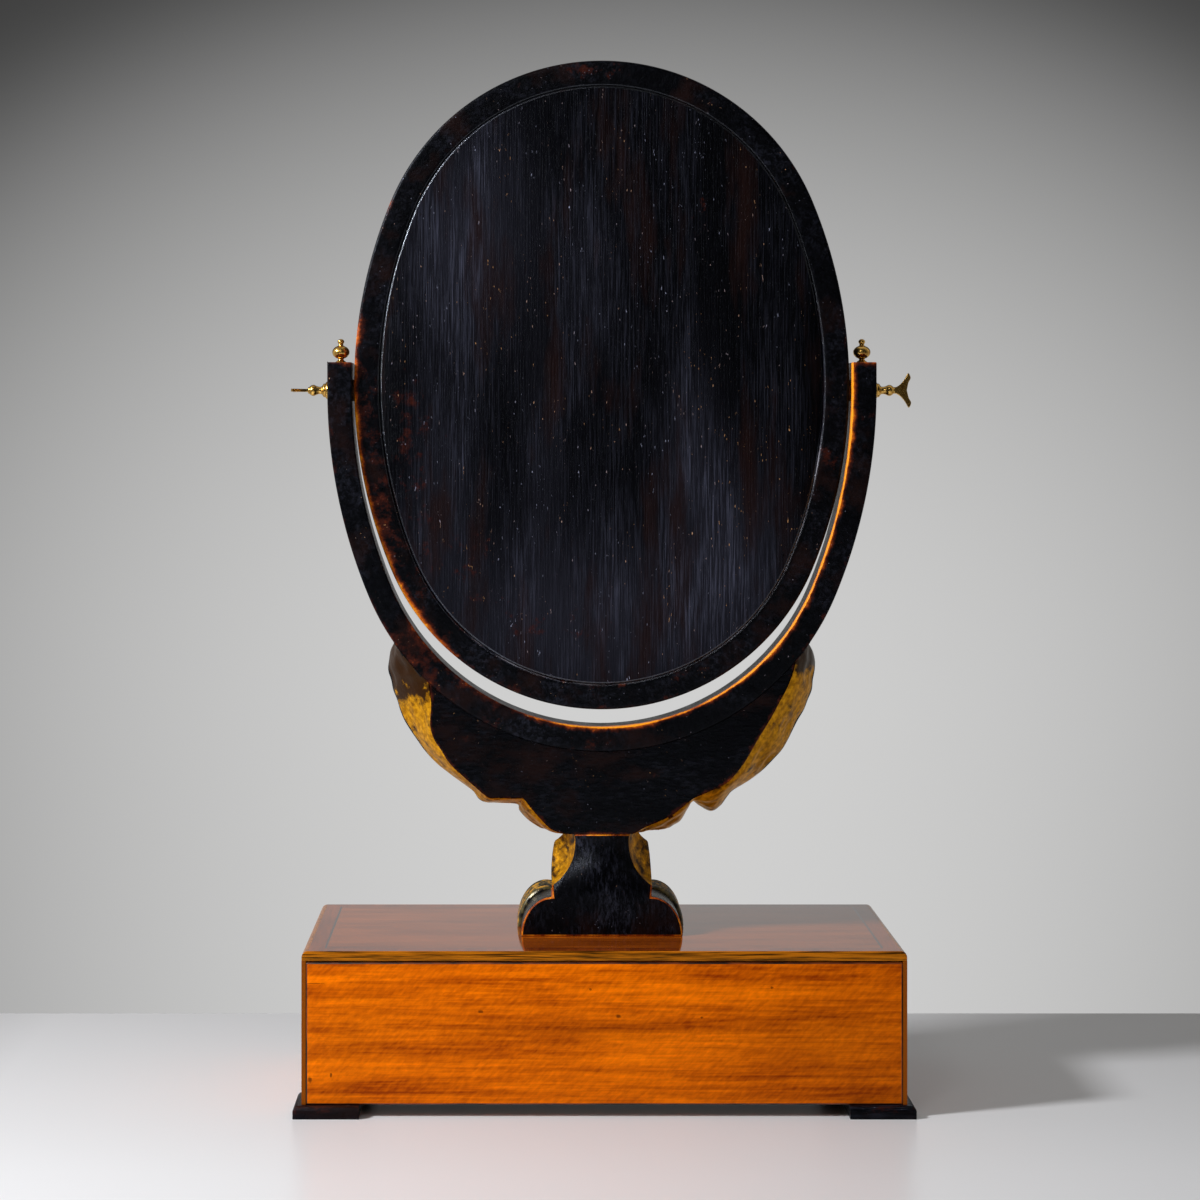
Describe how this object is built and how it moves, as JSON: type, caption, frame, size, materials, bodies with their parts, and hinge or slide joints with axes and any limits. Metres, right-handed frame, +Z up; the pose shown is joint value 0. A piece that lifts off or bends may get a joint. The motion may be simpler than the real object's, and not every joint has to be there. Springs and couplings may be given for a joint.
{
  "type": "table mirror",
  "caption": "Oval tilting toilet mirror in a U-shaped ebonised yoke with carved gilt leaves, on a pedestal over a low stained-wood case with a locking drawer.",
  "frame": {"origin": "middle of the case's footprint, on the ground", "axes": "+Z up, -Y the front with the drawer and the glass, +X right as seen from the front"},
  "size_m": [0.4562, 0.23, 0.7593],
  "materials": {
    "stained_wood": "polished",
    "ebonised_wood": "satin",
    "gilt_wood": "satin",
    "softwood": "matte",
    "brass": "polished",
    "iron": "satin",
    "mirror_glass": "polished",
    "leather": "matte"
  },
  "bodies": {
    "stand": {"case_top": "stained_wood", "top_field": "stained_wood", "top_stringing": "ebonised_wood", "top_crossbanding": "stained_wood", "case_left_side": "stained_wood", "case_right_side": "stained_wood", "case_back": "stained_wood", "case_bottom": "softwood", "upper_rail": "stained_wood", "rail_blocks": "softwood", "kicker_strips": "softwood", "drawer_stops": "softwood", "foot_front_left": "ebonised_wood", "foot_front_right": "ebonised_wood", "foot_rear_left": "ebonised_wood", "foot_rear_right": "ebonised_wood", "foot_screws": "iron", "pedestal_block": "ebonised_wood", "scroll_left": "gilt_wood", "scroll_right": "gilt_wood", "pedestal_leaf": "gilt_wood", "pedestal_dowels": "softwood", "stand_screws": "iron", "crescent_board": "ebonised_wood", "yoke_hoop": "ebonised_wood", "wing_leaf_left": "gilt_wood", "wing_leaf_right": "gilt_wood", "lower_leaf_left": "gilt_wood", "lower_leaf_right": "gilt_wood", "palmette": "gilt_wood", "finial_left": "brass", "finial_right": "brass"},
    "drawer": {"drawer_front": "stained_wood", "drawer_left_side": "softwood", "drawer_right_side": "softwood", "drawer_back": "softwood", "drawer_bottom": "softwood", "escutcheon": "brass", "lock_case": "brass", "lock_plate": "brass", "lock_pin": "iron", "lock_screws": "brass"},
    "mirror": {"mirror_frame": "ebonised_wood", "gilt_slip": "gilt_wood", "mirror_plate": "mirror_glass", "packing_blocks": "softwood", "back_board": "ebonised_wood", "board_pins": "iron", "pivot_plate_left": "brass", "pivot_plate_right": "brass", "plate_screws": "brass", "washer_left": "leather", "washer_right": "leather"},
    "bolt": {"lock_bolt": "iron"},
    "key": {"key": "iron"},
    "left_thumbscrew": {"thumbscrew_left": "brass"},
    "right_thumbscrew": {"thumbscrew_right": "brass"}
  },
  "joints": [
    {"name": "mirror_tilt", "type": "hinge", "parent": "stand", "child": "mirror", "pos_m": [0, 0.0249, 0.5175], "axis": [1, 0, 0], "continuous": true},
    {"name": "left_thumbscrew_turn", "type": "hinge", "parent": "mirror", "child": "left_thumbscrew", "pos_m": [-0.2, 0.0249, 0.5175], "axis": [-1, 0, 0], "continuous": true},
    {"name": "right_thumbscrew_turn", "type": "hinge", "parent": "mirror", "child": "right_thumbscrew", "pos_m": [0.2, 0.0249, 0.5175], "axis": [1, 0, 0], "continuous": true},
    {"name": "drawer_slide", "type": "slide", "parent": "stand", "child": "drawer", "axis": [0, -1, 0], "range_m": [0, 0.15]},
    {"name": "key_turn", "type": "hinge", "parent": "drawer", "child": "key", "pos_m": [0, -0.1, 0.0855], "axis": [0, -1, 0], "range_deg": [0, 360]},
    {"name": "bolt_throw", "type": "slide", "parent": "drawer", "child": "bolt", "axis": [0, 0, 1], "range_m": [0, 0.006]}
  ]
}
